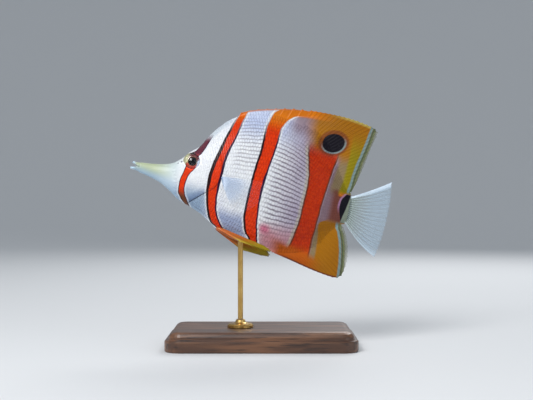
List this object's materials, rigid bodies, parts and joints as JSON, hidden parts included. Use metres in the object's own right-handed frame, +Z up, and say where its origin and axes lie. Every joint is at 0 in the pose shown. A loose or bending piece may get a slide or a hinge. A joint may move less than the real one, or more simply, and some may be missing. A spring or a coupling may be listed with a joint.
{
  "type": "copperband butterflyfish",
  "caption": "Life-size still model of a copperband butterflyfish, deep thin body, long beak, barred flanks and an eyespot on the dorsal fin, held nose up on a rod over a wooden base.",
  "frame": {"origin": "centre of the overall box at the underside of the stand's base", "axes": "+Z up, the fish's head towards -X, its left side towards -Y"},
  "size_m": [0.1634, 0.068, 0.148],
  "materials": {
    "silver_skin": "satin, silvery white with orange-red bars edged in near black",
    "yellow_fin": "amber to yellow membrane over rays, pale line and dark line inside its clear margin",
    "clear_fin": "clear bluish membrane over pale rays",
    "eye": "glossy, dark pupil in a pale iris",
    "dark_wood": "satin, dark stained",
    "brass": "satin"
  },
  "bodies": {
    "root": {"snout": "silver_skin", "jaw_upper": "silver_skin", "jaw_lower": "silver_skin", "head": "silver_skin", "gill_cover_left": "silver_skin", "gill_cover_right": "silver_skin", "eye_left": "eye", "eye_right": "eye", "torso": "silver_skin", "tail_stalk": "silver_skin", "dorsal_fin_spines": "yellow_fin", "dorsal_fin_rays": "yellow_fin", "anal_fin": "yellow_fin", "tail_fin": "clear_fin", "pelvic_fin_left": "yellow_fin", "pelvic_fin_right": "yellow_fin", "pectoral_fin_left": "clear_fin", "pectoral_fin_right": "clear_fin", "stand_base": "dark_wood", "stand_foot": "brass", "stand_rod": "brass"}
  },
  "joints": []
}
